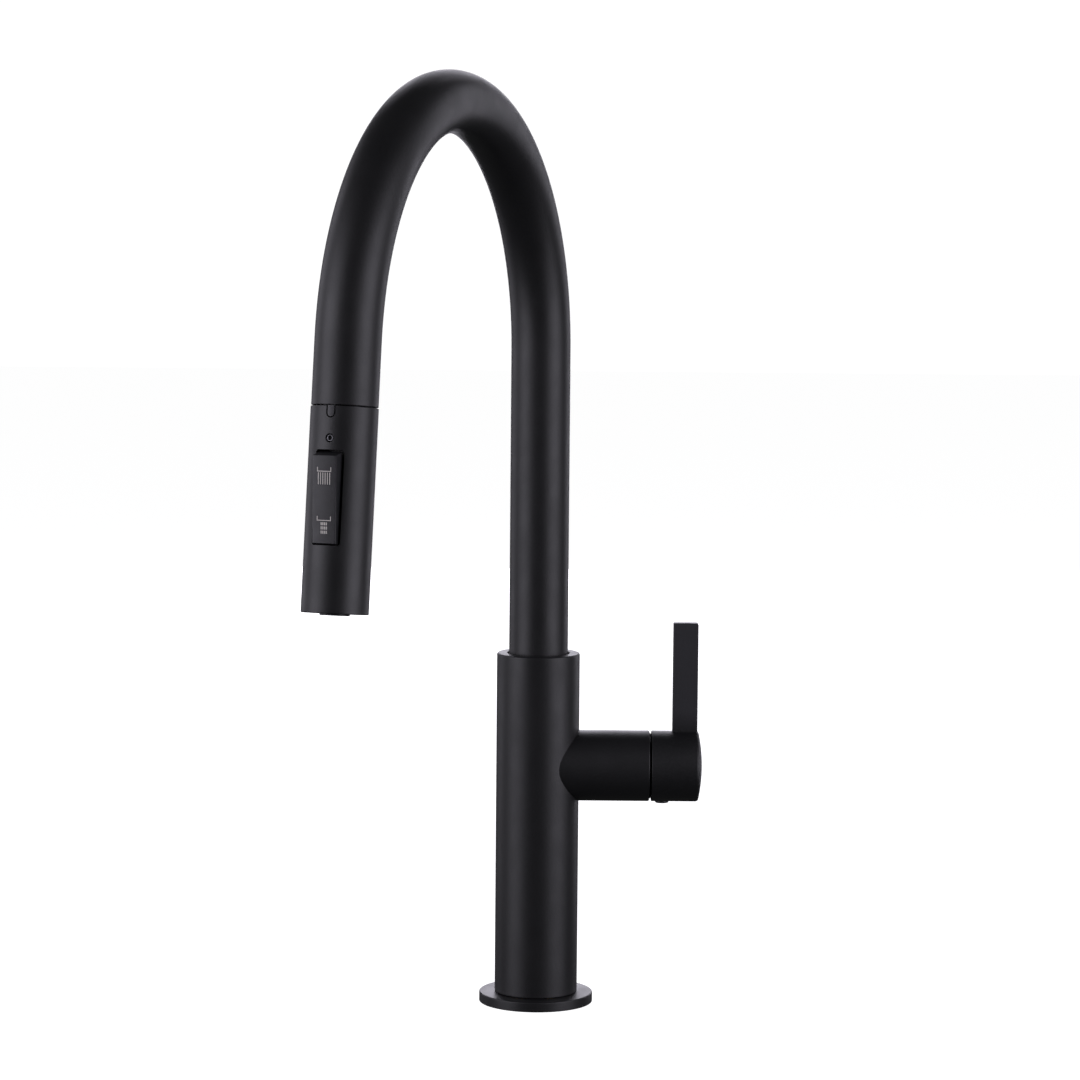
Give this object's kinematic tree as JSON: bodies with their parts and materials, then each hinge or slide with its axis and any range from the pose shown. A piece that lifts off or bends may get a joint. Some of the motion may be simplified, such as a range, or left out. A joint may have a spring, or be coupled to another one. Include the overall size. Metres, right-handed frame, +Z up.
{
  "type": "pull down kitchen faucet",
  "caption": "Kitchen faucet: round column, swivelling gooseneck spout, pull-down spray wand with a rocker button, and a tilting side lever.",
  "frame": {"origin": "centre of the base ring's underside, on the column's axis, where the faucet stands on the worktop", "axes": "+Z up along the column, +X along the handle's boss, -Y towards the user; the spout rests 20.64 degrees from -Y towards -X"},
  "size_m": [0.1795, 0.2691, 0.4463],
  "materials": {
    "black_coat": "matte black powder coat with a fine grain",
    "black_plastic": "matte moulded",
    "grey_plastic": "moulded acetal",
    "white_plastic": "moulded acetal",
    "brass": "machined",
    "steel": "turned stainless",
    "ceramic": "lapped alumina",
    "rubber": "moulded nitrile",
    "silicone": "moulded silicone",
    "braid": "braided nylon over a tube"
  },
  "bodies": {
    "body": {"base_flange": "black_coat", "deck_gasket": "rubber", "mounting_insert": "brass", "body_shell": "black_coat", "lower_bush": "grey_plastic", "upper_bush": "grey_plastic", "spout_retaining_screw": "steel", "valve_seat": "brass", "mixed_water_nipple": "brass", "supply_nipple_hot": "brass", "supply_nipple_cold": "brass", "cartridge_base_seal": "rubber", "cartridge_base": "white_plastic", "ceramic_disc_fixed": "ceramic", "cartridge_housing": "white_plastic", "cartridge_nut": "brass", "cartridge_cover_ring": "black_plastic"},
    "spout": {"spout_tube": "black_coat", "swivel_sleeve": "brass", "swivel_o_ring": "rubber", "hose_tail_coupling": "brass", "pull_hose": "braid", "docking_collar": "black_plastic", "docking_o_ring": "rubber", "pull_hose_leg": "braid"},
    "wand": {"wand_shell": "black_coat", "wand_core": "black_plastic", "hose_nut": "brass", "hose_seal": "rubber", "check_valve": "grey_plastic", "wand_set_screw": "steel", "rocker_pin": "steel", "spray_plate": "grey_plastic", "nozzle_mat": "silicone", "aerator_insert": "black_plastic", "face_ring": "black_plastic"},
    "rocker": {"rocker_button": "black_plastic"},
    "spool": {"diverter_spool": "grey_plastic", "spool_o_ring": "rubber"},
    "rotor": {"cartridge_rotor": "white_plastic", "stem_pin": "steel"},
    "slider": {"ceramic_disc_moving": "ceramic", "disc_driver": "white_plastic"},
    "handle": {"cartridge_stem": "brass", "lever_handle": "black_coat", "handle_set_screw": "steel", "screw_plug": "black_plastic"}
  },
  "joints": [
    {"name": "spout_swivel", "type": "hinge", "parent": "body", "child": "spout", "pos_m": [0, 0, 0.15], "axis": [0, 0, 1], "range_deg": [-39.4, 80.6]},
    {"name": "wand_pull", "type": "slide", "parent": "spout", "child": "wand", "axis": [-0.0403, -0.1071, -0.9934], "range_m": [0, 0.2], "stiffness_N_per_m": 10, "springref_m": -0.6, "deforming": ["pull_hose_leg"]},
    {"name": "rocker_tilt", "type": "hinge", "parent": "wand", "child": "rocker", "pos_m": [-0.08687, -0.23063, 0.26446], "axis": [-0.9358, 0.3525, 0], "range_deg": [0, 12.3]},
    {"name": "spool_slide", "type": "slide", "parent": "wand", "child": "spool", "axis": [-0.3502, -0.9297, 0.1144], "range_m": [0, 0.0027]},
    {"name": "handle_turn", "type": "hinge", "parent": "body", "child": "rotor", "pos_m": [0.04, 0, 0.1158], "axis": [1, 0, 0], "range_deg": [-45, 45]},
    {"name": "handle_tilt", "type": "hinge", "parent": "rotor", "child": "handle", "pos_m": [0.04, 0, 0.1158], "axis": [0, 1, 0], "range_deg": [0, 18]},
    {"name": "disc_slide", "type": "slide", "parent": "rotor", "child": "slider", "axis": [0, 0, 1], "range_m": [0, 0.0012]}
  ],
  "couplings": [
    {"joint": "disc_slide", "follows": "handle_tilt", "m_per_rad": 0.0037},
    {"joint": "spool_slide", "follows": "rocker_tilt", "m_per_rad": 0.012}
  ]
}
